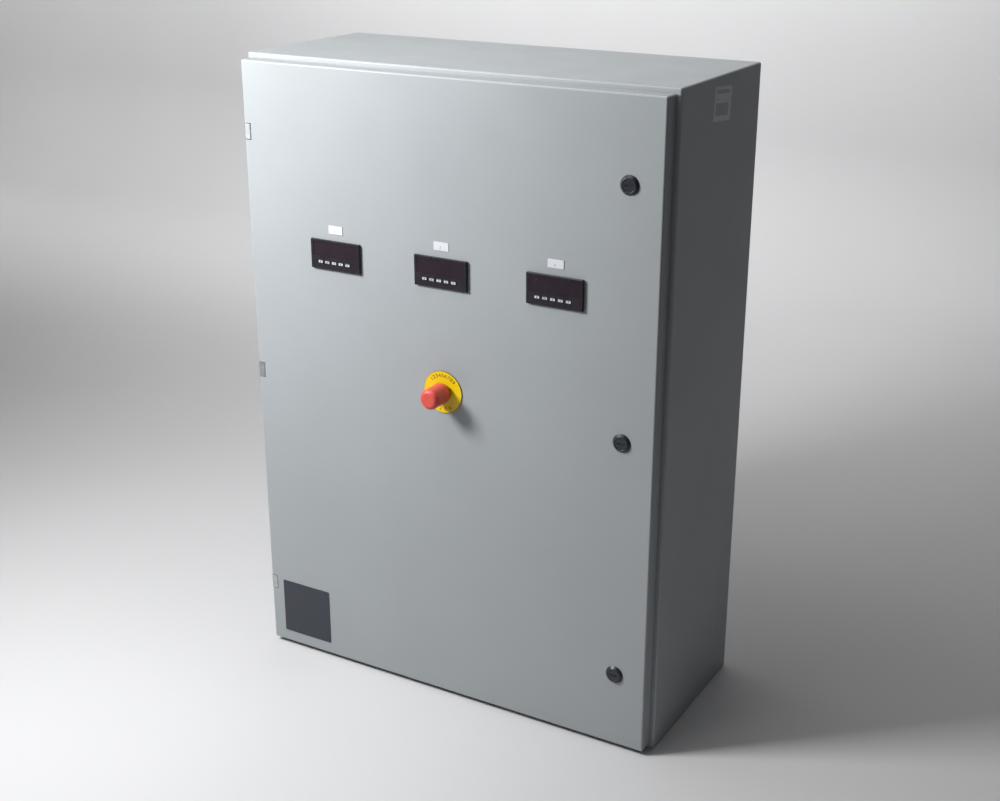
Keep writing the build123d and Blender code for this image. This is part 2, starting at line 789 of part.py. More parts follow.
# Main breaker: a stepped case with a raised nose, and a round pocket for the toggle's hub.
with BuildPart() as main_breaker:
    with Locations((breaker_x, rail_y, rail_zs[0])):
        Box(breaker_w, breaker_d, breaker_h, align=(Align.CENTER, Align.MAX, Align.CENTER))
        Box(breaker_w, breaker_nose_d, breaker_nose_h, align=(Align.CENTER, Align.MAX, Align.CENTER))
    fillet(main_breaker.edges().filter_by(Axis.X), radius=device_edge_r)
    with BuildSketch(Plane.YZ.offset(breaker_x - toggle_w / 2 - toggle_clear)):
        with Locations((toggle_y, rail_zs[0])):
            Circle(toggle_hub_d / 2 + toggle_clear)
    extrude(amount=toggle_w + 2 * toggle_clear, mode=Mode.SUBTRACT)
keep(main_breaker.part, "main_breaker")

# Breaker toggle: a hub and an arm, at rest thrown up.
rest_angle = math.radians(toggle_throw / 2)
arm_plane = Plane(
    (breaker_x, toggle_y, rail_zs[0]),
    x_dir=(1, 0, 0),
    z_dir=(0, -math.cos(rest_angle), math.sin(rest_angle)),
)
with BuildPart() as breaker_toggle:
    with BuildSketch(Plane.YZ.offset(breaker_x - toggle_w / 2)):
        with Locations((toggle_y, rail_zs[0])):
            Circle(toggle_hub_d / 2)
    extrude(amount=toggle_w)
    with BuildSketch(arm_plane):
        Rectangle(toggle_arm_w, toggle_arm_t)
    extrude(amount=toggle_arm_l)
keep(breaker_toggle.part, "breaker_toggle")

# Power supply: a tall case with stepped terminal ends and cooling slots in its sides.
with BuildPart() as power_supply:
    with Locations((supply_x, rail_y, rail_zs[0])):
        Box(supply_w, supply_d, supply_h, align=(Align.CENTER, Align.MAX, Align.CENTER))
    fillet(power_supply.edges().filter_by(Axis.Y), radius=device_edge_r)
    with BuildSketch(facing(rail_y - supply_d + supply_step_d)):
        with Locations((supply_x, rail_zs[0])):
            with GridLocations(0, supply_h, 1, 2):
                Rectangle(supply_w + 2 * cut_overrun, 2 * supply_step_h)
    extrude(amount=supply_step_d + cut_overrun, mode=Mode.SUBTRACT)
    for way in (-1, 1):
        slot_x = supply_x + way * (supply_w / 2 - supply_slot_deep)
        with BuildSketch(Plane.YZ.offset(slot_x)):
            with Locations((rail_y - supply_d / 2, rail_zs[0])):
                with GridLocations(0, supply_slot_pitch, 1, supply_slots):
                    SlotOverall(supply_slot_l, supply_slot_w)
        extrude(amount=way * (supply_slot_deep + cut_overrun), mode=Mode.SUBTRACT)
keep(power_supply.part, "power_supply")

# Controller: a case with stepped terminal ends and two ports in its face.
with BuildPart() as controller:
    with Locations((controller_x, rail_y, rail_zs[0])):
        Box(controller_w, unit_d, unit_h, align=(Align.CENTER, Align.MAX, Align.CENTER))
    fillet(controller.edges().filter_by(Axis.Y), radius=device_edge_r)
    with BuildSketch(facing(rail_y - unit_d + unit_step_d)):
        with Locations((controller_x, rail_zs[0])):
            with GridLocations(0, unit_h, 1, 2):
                Rectangle(controller_w + 2 * cut_overrun, 2 * unit_step_h)
    extrude(amount=unit_step_d + cut_overrun, mode=Mode.SUBTRACT)
    with BuildSketch(facing(rail_y - unit_d + port_deep)):
        with Locations((controller_x - controller_w / 2 + port_edge_gap + port_w / 2, rail_zs[0])):
            with GridLocations(0, unit_h / 2 - unit_step_h, 1, 2):
                Rectangle(port_w, port_h)
    extrude(amount=port_deep + cut_overrun, mode=Mode.SUBTRACT)
keep(controller.part, "controller")

# Input and output modules beside the controller, with the same stepped ends.
with BuildPart() as io_modules:
    for x in module_xs:
        with Locations((x, rail_y, rail_zs[0])):
            Box(module_w, unit_d, unit_h, align=(Align.CENTER, Align.MAX, Align.CENTER))
    fillet(io_modules.edges().filter_by(Axis.Y), radius=device_edge_r)
    with BuildSketch(facing(rail_y - unit_d + unit_step_d)):
        for x in module_xs:
            with Locations((x, rail_zs[0])):
                with GridLocations(0, unit_h, 1, 2):
                    Rectangle(module_w + module_gap, 2 * unit_step_h)
    extrude(amount=unit_step_d + cut_overrun, mode=Mode.SUBTRACT)
keep(io_modules.part, "io_modules")

# Relay sockets: a base with a raised cheek at each end.
with BuildPart() as relay_sockets:
    for x in socket_xs:
        with Locations((x, rail_y, rail_zs[1])):
            Box(socket_w, socket_d, socket_h, align=(Align.CENTER, Align.MAX, Align.CENTER))
            with Locations((0, 0, socket_h / 2), (0, 0, -socket_h / 2 + socket_cheek_h)):
                Box(socket_w, socket_cheek_d, socket_cheek_h, align=(Align.CENTER, Align.MAX, Align.MAX))
keep(relay_sockets.part, "relay_sockets")

# Relays, plugged into the middle of the sockets.
with BuildPart() as relays:
    for x in socket_xs:
        with Locations((x, rail_y - socket_d, rail_zs[1])):
            Box(relay_w, relay_d, relay_h, align=(Align.CENTER, Align.MAX, Align.CENTER))
    fillet(relays.faces().group_by(Axis.Y)[0].edges(), radius=relay_edge_r)
keep(relays.part, "relays")

# Terminal blocks: one stepped outline, repeated along the rail, with a screw well at each end.
with BuildPart() as terminal_blocks:
    for x in terminal_xs:
        with BuildSketch(Plane.YZ.offset(x)):
            with BuildLine():
                Polyline(*rail_outline(terminal_shares, rail_zs[2], terminal_d, terminal_h), close=True)
            make_face()
        extrude(amount=terminal_w)
    with BuildSketch(facing(rail_y - terminal_d * terminal_step_share + terminal_screw_deep)):
        for x in terminal_xs:
            with Locations((x + terminal_w / 2, rail_zs[2])):
                with GridLocations(0, 2 * terminal_h * terminal_screw_share, 1, 2):
                    Circle(terminal_screw_d / 2)
    extrude(amount=terminal_screw_deep + cut_overrun, mode=Mode.SUBTRACT)
keep(terminal_blocks.part, "terminal_blocks")

# End stops at both ends of the terminal row.
with BuildPart() as terminal_end_stops:
    for x in (row_x, terminal_xs[-1] + terminal_w + terminal_gap):
        with BuildSketch(Plane.YZ.offset(x)):
            with BuildLine():
                Polyline(*rail_outline(stop_shares, rail_zs[2], stop_d, stop_h), close=True)
            make_face()
        extrude(amount=stop_w)
keep(terminal_end_stops.part, "terminal_end_stops")

# Ground bar on the panel, low down, with its row of screws.
with BuildPart() as ground_bar:
    with Locations((0, panel_y, ground_z)):
        Box(ground_l, ground_t, ground_h, align=(Align.CENTER, Align.MAX, Align.CENTER))
    fillet(ground_bar.faces().sort_by(Axis.Y)[0].edges(), radius=ground_edge_r)
keep(ground_bar.part, "ground_bar")

with BuildPart() as ground_bar_screws:
    with BuildSketch(facing(panel_y - ground_t)):
        with Locations((0, ground_z)):
            with GridLocations(ground_l / ground_ways, 0, ground_ways, 1):
                Circle(ground_screw_d / 2)
    extrude(amount=ground_screw_t)
keep(ground_bar_screws.part, "ground_bar_screws")
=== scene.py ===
# %% [markdown]
# # Turbine control panel
# The real object is a folded steel wall box with a hinged door. The door carries three panel
# meters, an emergency stop and three quarter-turn latches, and a plate of control gear waits
# behind it. The solids could be modelled here from nothing, but they already exist in CAD with
# true sizes and working joints. So this lesson loads them, in metres and in place, and adds what
# CAD leaves out: finishes, print, screw heads, light and a camera.

# %% Load the CAD frame
import json
import math
import bmesh
import bpy
from mathutils import Matrix, Vector


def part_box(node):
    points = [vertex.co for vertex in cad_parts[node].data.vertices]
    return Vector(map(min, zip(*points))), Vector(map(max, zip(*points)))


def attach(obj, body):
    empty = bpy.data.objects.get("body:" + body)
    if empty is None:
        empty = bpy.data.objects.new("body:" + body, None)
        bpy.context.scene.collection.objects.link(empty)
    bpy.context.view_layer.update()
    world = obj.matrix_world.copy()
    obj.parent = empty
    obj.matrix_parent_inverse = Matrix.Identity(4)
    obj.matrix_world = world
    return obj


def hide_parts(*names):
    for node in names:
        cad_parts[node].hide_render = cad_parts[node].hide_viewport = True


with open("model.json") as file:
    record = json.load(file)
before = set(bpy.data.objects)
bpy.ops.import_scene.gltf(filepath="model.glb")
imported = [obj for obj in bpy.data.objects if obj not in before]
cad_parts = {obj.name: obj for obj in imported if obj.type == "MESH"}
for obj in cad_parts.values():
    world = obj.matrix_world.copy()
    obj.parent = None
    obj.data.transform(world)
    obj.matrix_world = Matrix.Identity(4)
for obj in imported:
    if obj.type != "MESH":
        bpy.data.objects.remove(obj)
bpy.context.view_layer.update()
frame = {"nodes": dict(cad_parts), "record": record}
nodes = frame["nodes"]
mm = 0.001

# %% [markdown]
# ## Camera
# The panel is seen from its right and from above, at about 30 degrees round and 21 degrees up.
# A camera can be turned by hand until it looks right. Aiming it at one point instead keeps the
# upright edges free of roll, and the lens length then sets how fast they draw together.

# %% Place the camera
camera_place = Vector((1.18362, -2.03426, 1.37822))
camera_aim = Vector((0.00287, 0.0, 0.48644))
camera_data = bpy.data.cameras.new("panel_camera")
camera_data.sensor_width = 36
camera_data.lens = 52.676
camera = bpy.data.objects.new("panel_camera", camera_data)
camera.location = camera_place
camera.rotation_euler = (camera_aim - camera_place).to_track_quat("-Z", "Y").to_euler()
bpy.context.scene.collection.objects.link(camera)
bpy.context.scene.camera = camera
print("camera stands", round((camera_aim - camera_place).length, 3), "m from its aim")

# %% [markdown]
# ## The pale stage
# A studio sets such a box on a pale floor in front of a pale wall. Two planes would meet in a hard
# line, so the floor is swept up into the wall in one curved sheet, as a paper sweep is. The sheet
# is made from one side profile, drawn out sideways. Its paint is the first finish: a colour that
# soft noise shifts a little, because no real surface is one flat tone.

# %% Write colours as on a screen
def screen(red, green, blue):
    """A colour written as on a screen, 0 to 255, in the linear values that Blender mixes."""
    shares = [v / 255 for v in (red, green, blue)]
    return [v / 12.92 if v <= 0.04045 else ((v + 0.055) / 1.055) ** 2.4 for v in shares] + [1]


def tinted(colour, factor):
    """The same colour, lighter or darker."""
    return [min(1, v * factor) for v in colour[:3]] + [1]


stage_colour = screen(212, 212, 213)
print("stage colour in linear values:", [round(v, 3) for v in stage_colour[:3]])

# %% Paint the stage
noise_low, noise_high = 0.3, 0.7


def start_finish(name):
    """An empty finish: the material, its node tree and its main shader."""
    material = bpy.data.materials.new(name)
    material.use_nodes = True
    tree = material.node_tree
    return material, tree, tree.nodes["Principled BSDF"]


def cloud(tree, size, detail=2.0, stretch=(1, 1, 1)):
    """Soft noise that is fixed to the piece, with patches of about the given size in metres."""
    place = tree.nodes.new("ShaderNodeTexCoord")
    scale = tree.nodes.new("ShaderNodeMapping")
    scale.inputs["Scale"].default_value = stretch
    noise = tree.nodes.new("ShaderNodeTexNoise")
    noise.inputs["Scale"].default_value = 1 / size
    noise.inputs["Detail"].default_value = detail
    tree.links.new(place.outputs["Object"], scale.inputs["Vector"])
    tree.links.new(scale.outputs["Vector"], noise.inputs["Vector"])
    return noise.outputs["Fac"]


def blend_colours(tree, share, low, high):
    """A colour that runs from low to high over the range where noise mostly lies."""
    ramp = tree.nodes.new("ShaderNodeValToRGB")
    ramp.color_ramp.elements[0].position = noise_low
    ramp.color_ramp.elements[1].position = noise_high
    ramp.color_ramp.elements[0].color = low
    ramp.color_ramp.elements[1].color = high
    tree.links.new(share, ramp.inputs["Fac"])
    return ramp.outputs["Color"]


stage_paint, tree, shader = start_finish("stage_paint")
haze = cloud(tree, 0.9)
tone = blend_colours(tree, haze, tinted(stage_colour, 0.98), tinted(stage_colour, 1.02))
tree.links.new(tone, shader.inputs["Base Color"])
shader.inputs["Roughness"].default_value = 0.7
shader.inputs["Specular IOR Level"].default_value = 0.2
print("stage paint has", len(tree.nodes), "nodes")

# %% Sweep the floor up into the wall
wall_y, cove_r, stage_top, stage_front, stage_half = 2.8, 0.45, 4.2, -7.0, 8.0
cove_steps = 24
profile = [(stage_front, 0.0)]
for step in range(cove_steps + 1):
    turn = math.pi / 2 * step / cove_steps
    profile.append((wall_y - cove_r + cove_r * math.sin(turn), cove_r - cove_r * math.cos(turn)))
profile.append((wall_y, stage_top))
sweep_points = [(x, y, z) for y, z in profile for x in (-stage_half, stage_half)]
sweep_faces = [(2 * i, 2 * i + 1, 2 * i + 3, 2 * i + 2) for i in range(len(profile) - 1)]
sweep_mesh = bpy.data.meshes.new("stage_sweep")
sweep_mesh.from_pydata(sweep_points, [], sweep_faces)
sweep_mesh.shade_smooth()
sweep_mesh.materials.append(stage_paint)
sweep = bpy.data.objects.new("stage_sweep", sweep_mesh)
bpy.context.scene.collection.objects.link(sweep)
print("stage:", len(sweep_mesh.polygons), "strips")

# %% [markdown]
# ## Light
# One soft lamp hangs near the panel, in front of it, on its left and above. Because it is near,
# the door is brightest at its upper left corner and falls off towards its lower right, and the
# emergency stop throws its shadow down to the right. Two wider lamps overhead fill the front and
# the top, three small ones light only the wall, and a faint sky keeps the right side from going
# black. One lamp alone would be simpler, but its shadows would be hard and empty.

# %% Hang the lamps
def hang_lamp(name, place, aim, width, height, watts):
    """A soft lamp that looks at a point and isn't itself seen."""
    lamp_data = bpy.data.lights.new(name, "AREA")
    lamp_data.shape = "RECTANGLE"
    lamp_data.size, lamp_data.size_y = width, height
    lamp_data.energy = watts
    lamp = bpy.data.objects.new(name, lamp_data)
    lamp.location = place
    lamp.rotation_euler = (Vector(aim) - Vector(place)).to_track_quat("-Z", "Y").to_euler()
    lamp.visible_camera = False
    bpy.context.scene.collection.objects.link(lamp)


hang_lamp("near_lamp", (-0.84, -1.00, 1.42), (-0.05, -0.18, 0.62), 0.4, 0.4, 31.0)
hang_lamp("front_lamp", (-0.30, -0.70, 2.40), (0.0, -0.20, 0.90), 1.0, 1.0, 8.0)
hang_lamp("top_lamp", (-0.10, 0.15, 2.10), (-0.10, 0.15, 0.0), 1.4, 1.0, 9.0)
hang_lamp("wall_lamp_left", (-4.20, 1.20, 1.60), (-4.20, 2.80, 0.80), 1.6, 0.8, 20.0)
hang_lamp("wall_lamp_middle", (-2.00, 1.90, 1.80), (-2.00, 2.80, 0.90), 1.6, 0.8, 20.0)
hang_lamp("wall_lamp_right", (-0.40, 1.90, 1.80), (-0.40, 2.80, 0.90), 1.6, 0.8, 15.0)

# %% Add a faint sky and keep colours as written
sky_strength = 0.05
sky = bpy.data.worlds.new("studio_sky")
sky.use_nodes = True
sky.node_tree.nodes["Background"].inputs["Color"].default_value = screen(250, 251, 255)
sky.node_tree.nodes["Background"].inputs["Strength"].default_value = sky_strength
bpy.context.scene.world = sky
bpy.context.scene.view_settings.view_transform = "Standard"
print("sky strength:", sky_strength)

# %% [markdown]
# ## Painted sheet
# The box and door are steel in a satin powder coat. Such paint is baked from dust, so it has a fine
# orange-peel surface, a faint drift of tone and a sheen that is a little duller in patches where
# it was wiped. Real bumps a tenth of a millimetre high would need millions of faces, so noise in
# the shader does it, at its true scale of a millimetre or so.

# %% Mix the paints
def blend_values(tree, share, low, high):
    """A number that runs from low to high over the range where noise mostly lies."""
    span = tree.nodes.new("ShaderNodeMapRange")
    span.inputs["From Min"].default_value = noise_low
    span.inputs["From Max"].default_value = noise_high
    span.inputs["To Min"].default_value = low
    span.inputs["To Max"].default_value = high
    tree.links.new(share, span.inputs["Value"])
    return span.outputs["Result"]


def roughen(tree, shader, share, height):
    """Raise and sink the surface by the share, over the given height in metres."""
    bump = tree.nodes.new("ShaderNodeBump")
    bump.inputs["Distance"].default_value = height
    tree.links.new(share, bump.inputs["Height"])
    tree.links.new(bump.outputs["Normal"], shader.inputs["Normal"])


def baked_paint(name, colour, rough):
    """Powder coat on sheet steel."""
    material, tree, shader = start_finish(name)
    drift = cloud(tree, 0.22, 3.0)
    tone = blend_colours(tree, drift, tinted(colour, 0.975), tinted(colour, 1.025))
    tree.links.new(tone, shader.inputs["Base Color"])
    wiped = cloud(tree, 0.07, 4.0)
    gloss = blend_values(tree, wiped, rough - 0.03, rough + 0.04)
    tree.links.new(gloss, shader.inputs["Roughness"])
    roughen(tree, shader, cloud(tree, 0.0013, 1.0), 0.00002)
    return material


finishes = {
    "grey_paint": baked_paint("grey_paint", screen(158, 163, 166), 0.45),
    "white_paint": baked_paint("white_paint", screen(226, 226, 222), 0.38),
}
print("paints:", list(finishes))

# %% [markdown]
# ## Plated steel, zinc and brass
# Hinges, nuts and screws are zinc plated: bright, a little blotched, and drawn with fine lines from
# rolling or turning. A polished mirror would look like chrome, so the noise is stretched into lines
# and drives both roughness and bump. The rails' zinc has a warm tint, and the bar for earth wires is
# brass that has begun to dull.

# %% Mix the metals
def plated(name, colour, rough, line=(1, 1, 1)):
    """Bare or plated metal with drawn lines and a blotchy tone."""
    material, tree, shader = start_finish(name)
    shader.inputs["Metallic"].default_value = 1.0
    blotch = cloud(tree, 0.009, 3.0)
    tone = blend_colours(tree, blotch, tinted(colour, 0.86), tinted(colour, 1.06))
    tree.links.new(tone, shader.inputs["Base Color"])
    drawn = cloud(tree, 0.0008, 2.0, line)
    gloss = blend_values(tree, drawn, rough - 0.07, rough + 0.1)
    tree.links.new(gloss, shader.inputs["Roughness"])
    roughen(tree, shader, drawn, 0.00001)
    return material


# name, colour, roughness, and how far the noise is stretched into lines along x, y and z
metal_mixes = [
    ("hinge_steel", (200, 204, 206), 0.49, (1, 1, 0.12)),
    ("fastener_steel", (208, 208, 205), 0.42, (1, 1, 1)),
    ("rail_zinc", (222, 219, 206), 0.5, (0.06, 1, 1)),
    ("cam_zinc", (176, 178, 180), 0.4, (1, 1, 0.15)),
    ("ground_brass", (196, 164, 92), 0.34, (0.08, 1, 1)),
]
for name, colour, rough, line in metal_mixes:
    finishes[name] = plated(name, screen(*colour), rough, line)
print("metals mixed:", len(metal_mixes))

# %% [markdown]
# ## Moulded plastic, rubber and foam
# Bezels, cases, keys and knobs are moulded. A mould leaves a fine, even grain and a slow drift in
# gloss, so one recipe serves them all, with its own colour, roughness and grain size for each. The
# foam ring is different: it is full of cells, so its bump comes from a cell pattern, and its tone
# is darker in the cells' hollows, which is painted shade.

# %% Mix the plastics
def moulded(name, colour, rough, grain=0.0006, height=0.000012, drift=0.05):
    """Moulded plastic or rubber with the mould's fine grain."""
    material, tree, shader = start_finish(name)
    flow = cloud(tree, 0.03, 3.0)
    tone = blend_colours(tree, flow, tinted(colour, 1 - drift), tinted(colour, 1 + drift))
    tree.links.new(tone, shader.inputs["Base Color"])
    gloss = blend_values(tree, flow, rough - 0.04, rough + 0.05)
    tree.links.new(gloss, shader.inputs["Roughness"])
    roughen(tree, shader, cloud(tree, grain, 1.0), height)
    return material


# name, colour, roughness, then the grain's size and height in metres and the drift of tone
plastic_mixes = [
    ("latch_black", (39, 43, 51), 0.38, 0.0005, 0.00001),
    ("legend_yellow", (232, 196, 3), 0.42, 0.0008, 0.000006, 0.025),
    ("head_red", (212, 82, 72), 0.42, 0.0007, 0.000008, 0.04),
    ("operator_black", (30, 30, 32), 0.45),
    ("meter_black", (40, 37, 43), 0.28, 0.0005, 0.00001),
    ("window_smoke", (45, 37, 43), 0.16, 0.02, 0.00001),
    ("key_rubber", (36, 34, 39), 0.5, 0.0007),
    ("plug_green", (44, 128, 74), 0.42),
    ("tag_white", (207, 210, 216), 0.75, 0.0008, 0.000005, 0.01),
    ("plate_dark", (45, 49, 59), 0.42, 0.0009, 0.00001, 0.04),
    ("supply_case", (150, 154, 156), 0.45),
    ("unit_grey", (122, 126, 128), 0.5),
    ("breaker_white", (222, 222, 216), 0.4),
    ("toggle_black", (28, 28, 30), 0.38),
    ("socket_grey", (66, 68, 70), 0.5),
    ("relay_cover", (186, 196, 192), 0.2, 0.001, 0.000006),
    ("terminal_grey", (168, 170, 166), 0.5),
]
for name, colour, *surface in plastic_mixes:
    finishes[name] = moulded(name, screen(*colour), *surface)
print("plastics mixed:", len(plastic_mixes))

# %% Mix the foam
def foamed(name, colour, cells_per_metre, depth):
    """Closed-cell foam, with painted shade in the hollows of its cells."""
    material, tree, shader = start_finish(name)
    place = tree.nodes.new("ShaderNodeTexCoord")
    cells = tree.nodes.new("ShaderNodeTexVoronoi")
    cells.inputs["Scale"].default_value = cells_per_metre
    tree.links.new(place.outputs["Object"], cells.inputs["Vector"])
    # The cell pattern that sinks the bump also darkens the tone in the hollows: painted shade.
    tone = blend_colours(tree, cells.outputs["Distance"], tinted(colour, 0.7), tinted(colour, 1.3))
    tree.links.new(tone, shader.inputs["Base Color"])
    shader.inputs["Roughness"].default_value = 0.9
    roughen(tree, shader, cells.outputs["Distance"], depth)
    return material


finishes["foam"] = foamed("foam", screen(58, 58, 60), 900, 0.0004)
print("finishes ready:", len(finishes))

# %% [markdown]
# ## Dress the CAD solids
# Each solid belongs to a named material slot in its record, so no list of solids is repeated here:
# the record says which finish each one takes. The meshes themselves stay as CAD made them.

# %% Give every solid its finish
dressed = 0
for row in frame["record"]["subparts"]:
    solid = nodes[row["node"]]
    solid.data.materials.clear()
    solid.data.materials.append(finishes[row["material_slot"]])
    dressed += 1
print("solids dressed:", dressed)

# %% [markdown]
# ## Thin raised details
# Print, tags, screw heads and ribs are all flat outlines that stand a little way off a face. Each
# could be a cube or a text object, but a drawn outline with an eased front edge catches light as
# the real one does. So a few small helpers draw outlines in the door's plane, as x and z, and raise
# them along y.

# %% Draw outlines
def round_rect(x, z, width, height, radius, steps=4):
    """A rectangle with rounded corners, as points that run anticlockwise seen from the front."""
    points = []
    for quarter, (sx, sz) in enumerate(((1, -1), (1, 1), (-1, 1), (-1, -1))):
        for step in range(steps + 1):
            turn = math.pi / 2 * (quarter - 1 + step / steps)
            points.append((x + sx * (width / 2 - radius) + radius * math.cos(turn),
                           z + sz * (height / 2 - radius) + radius * math.sin(turn)))
    return points


def round_disc(x, z, radius, steps=24):
    """A circle as points."""
    turns = [2 * math.pi * step / steps for step in range(steps)]
    return [(x + radius * math.cos(turn), z + radius * math.sin(turn)) for turn in turns]


sample_outline = round_rect(0, 0, 20 * mm, 10 * mm, 2 * mm)
print("a rounded rectangle has", len(sample_outline), "points, a circle", len(round_disc(0, 0, mm)))

# %% Raise an outline off a face
def drawn_in(outline, by):
    """The same outline pulled in all round, for an eased edge."""
    pulled = []
    for i, (x, z) in enumerate(outline):
        before, after = outline[i - 1], outline[(i + 1) % len(outline)]
        along = Vector((after[0] - before[0], after[1] - before[1])).normalized()
        pulled.append((x - along.y * by, z + along.x * by))
    return pulled


def raise_outline(shape, outline, seat, front, ease=0.0, coat=0):
    """Stand an outline out from the depth seat to the depth front, with an eased front edge."""
    out = 1 if front > seat else -1
    levels = [(outline, seat), (outline, front - out * ease)]
    if ease:
        levels.append((drawn_in(outline, ease), front))
    rings = [[shape.verts.new((x, y, z)) for x, z in points] for points, y in levels]
    faces = [shape.faces.new(rings[0]), shape.faces.new(rings[-1])]
    for low, high in zip(rings, rings[1:]):
        for i in range(len(low)):
            faces.append(shape.faces.new((low[i - 1], low[i], high[i], high[i - 1])))
    for face in faces:
        face.material_index = coat


sample = bmesh.new()
raise_outline(sample, sample_outline, 0.0, -1 * mm, 0.2 * mm)
print("raised with an eased edge, the rectangle has", len(sample.faces), "faces")
sample.free()

# %% [markdown]
# ## Emergency stop plate
# The yellow disc is printed metal. Its side faces away from the near lamp, so it is shaded dark,
# and that shade is painted on with a thin black band round the disc. A shader that looks at the
# face's direction could paint it too, but the band is plainer and survives export. The print is a
# dial of plain numbers, bent round the knob in two arcs, in Blender's own font. Text is turned into
# a thin mesh so that it exports like every other piece. Each finished shape becomes a piece that
# rides on a body, so that it moves when the body does.

# %% Band of painted shade round the yellow disc
def raise_ring(shape, outer, inner, seat, front):
    """Stand a flat ring out from the depth seat to the depth front."""
    loops = [[shape.verts.new((x, y, z)) for x, z in points]
             for points, y in ((outer, seat), (outer, front), (inner, front), (inner, seat))]
    for low, high in zip(loops, loops[1:] + loops[:1]):
        for i in range(len(low)):
            shape.faces.new((low[i - 1], low[i], high[i], high[i - 1]))


def keep_piece(name, shape, body, slot, *coats):
    """Turn a drawn shape into a finished piece that rides on a body."""
    bmesh.ops.recalc_face_normals(shape, faces=shape.faces)
    mesh = bpy.data.meshes.new(name)
    shape.to_mesh(mesh)
    shape.free()
    for coat in coats or (finishes[slot],):
        mesh.materials.append(coat)
    mesh.shade_smooth()
    mesh.set_sharp_from_angle(angle=math.radians(32))
    piece = bpy.data.objects.new(name, mesh)
    bpy.context.scene.collection.objects.link(piece)
    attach(piece, body)
    print(name, "has", len(mesh.polygons), "faces and rides on", body)
    return piece


legend_low, legend_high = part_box("estop_legend_plate")
stop_x, stop_z = (legend_low.x + legend_high.x) / 2, (legend_low.z + legend_high.z) / 2
legend_r = (legend_high.x - legend_low.x) / 2
legend_face, door_face = legend_low.y, legend_high.y
band_t, band_set, band_steps = 0.3 * mm, 0.15 * mm, 72
band_outer = round_disc(stop_x, stop_z, legend_r + band_t, band_steps)
band_inner = round_disc(stop_x, stop_z, legend_r, band_steps)
shape = bmesh.new()
# A thin black band over the disc's side, where the lamp doesn't reach: painted shade.
raise_ring(shape, band_outer, band_inner, door_face, legend_face + band_set)
keep_piece("legend_shade_band", shape, "door", "operator_black")

# %% Numbers round the dial
print_t = 0.05 * mm
dial_brown = moulded("dial_brown", screen(92, 70, 10), 0.5, 0.0008, 0.000005, 0.02)


def drawn_text(words, height):
    """Words in Blender's own font as a thin flat mesh, centred, with letters of the given height."""
    curve = bpy.data.curves.new("drawn_words", "FONT")
    curve.body = words
    curve.size = height * 1.4
    curve.align_x, curve.align_y = "CENTER", "CENTER"
    curve.extrude = print_t
    holder = bpy.data.objects.new("drawn_words", curve)
    mesh = bpy.data.meshes.new_from_object(holder)
    bpy.data.objects.remove(holder)
    return mesh


dial_h, dial_r, dial_widen = 6.0 * mm, 28.0 * mm, 1.25
# numbers, first angle, spread and turn of each number, in degrees
dial_arcs = [("123456789", 136, -92, 0), ("1234", 242, 56, 180)]
upright = Matrix.Translation((stop_x, legend_face, stop_z)) @ Matrix.Rotation(math.pi / 2, 4, "X")
shape = bmesh.new()
for row, start, spread, flip in dial_arcs:
    for i, number in enumerate(row):
        angle = math.radians(start + spread * i / (len(row) - 1) - 90)
        place = Matrix.Rotation(angle, 4, "Z") @ Matrix.Translation((0, dial_r, 0))
        spin = Matrix.Rotation(math.radians(flip), 4, "Z") @ Matrix.Diagonal((dial_widen, 1, 1, 1))
        letter = drawn_text(number, dial_h)
        letter.transform(upright @ place @ spin)
        shape.from_mesh(letter)
keep_piece("dial_numbers", shape, "door", "operator_black", dial_brown)

# %% [markdown]
# ## Meter windows and keys
# Each meter shows five unlit digits behind dark red plastic, and has five rubber keys with white
# signs. Unlit digits are barely seen, so they are thin plates of a slightly lighter red. The signs
# are plain shapes such as a dot and arrows, and each rides on its own key, so it goes in with the key.

# %% Unlit digits
digit_count, digit_w, digit_h, digit_pitch = 5, 7.6 * mm, 14.0 * mm, 14.6 * mm
stroke, lean = 1.5 * mm, math.tan(math.radians(6))
unlit_red = moulded("unlit_red", screen(50, 39, 46), 0.25)
window_low, window_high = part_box("meter_windows")
window_face = window_low.y
window_z = (window_low.z + window_high.z) / 2


def digit_bars(x, z):
    """The seven bars of one digit, as outlines."""
    half, tip = digit_h / 2, stroke * 0.45
    level = [(x, z + half), (x, z), (x, z - half)]
    upright = [(x + sx * digit_w / 2, z + sz * half / 2) for sx in (-1, 1) for sz in (-1, 1)]
    bars = [round_rect(bx, bz, digit_w - stroke * 1.3, stroke, tip, 2) for bx, bz in level]
    bars += [round_rect(bx, bz, stroke, half - stroke * 1.3, tip, 2) for bx, bz in upright]
    return [[(px + (pz - z) * lean, pz) for px, pz in bar] for bar in bars]


meter_sides = ("left", "centre", "right")
meter_x = {}
for side in meter_sides:
    low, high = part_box(f"meter_{side}_case")
    meter_x[side] = (low.x + high.x) / 2
    shape = bmesh.new()
    for i in range(digit_count):
        for bar in digit_bars(meter_x[side] + (i - (digit_count - 1) / 2) * digit_pitch, window_z):
            raise_outline(shape, bar, window_face, window_face - print_t)
    keep_piece(f"meter_{side}_digits", shape, "door", "window_smoke", unlit_red)

# %% White signs on the keys
sign_w, sign_h, sign_r, sign_t, sign_ease = 7.9 * mm, 3.7 * mm, 0.8 * mm, 0.12 * mm, 0.04 * mm
dot_r, bar_w, bar_h, bar_r, bar_rise = 1.2 * mm, 5.0 * mm, 0.8 * mm, 0.2 * mm, 0.75 * mm
arrow_size, arrow_turns = 1.5 * mm, {3: 90, 4: 0, 5: 180}
sign_grey = moulded("sign_grey", screen(196, 198, 204), 0.45, 0.0008, 0.000005, 0.02)


def turned(points, centre, angle):
    """An outline turned about a centre."""
    cos, sin = math.cos(angle), math.sin(angle)
    return [(centre[0] + (x - centre[0]) * cos - (z - centre[1]) * sin,
             centre[1] + (x - centre[0]) * sin + (z - centre[1]) * cos) for x, z in points]


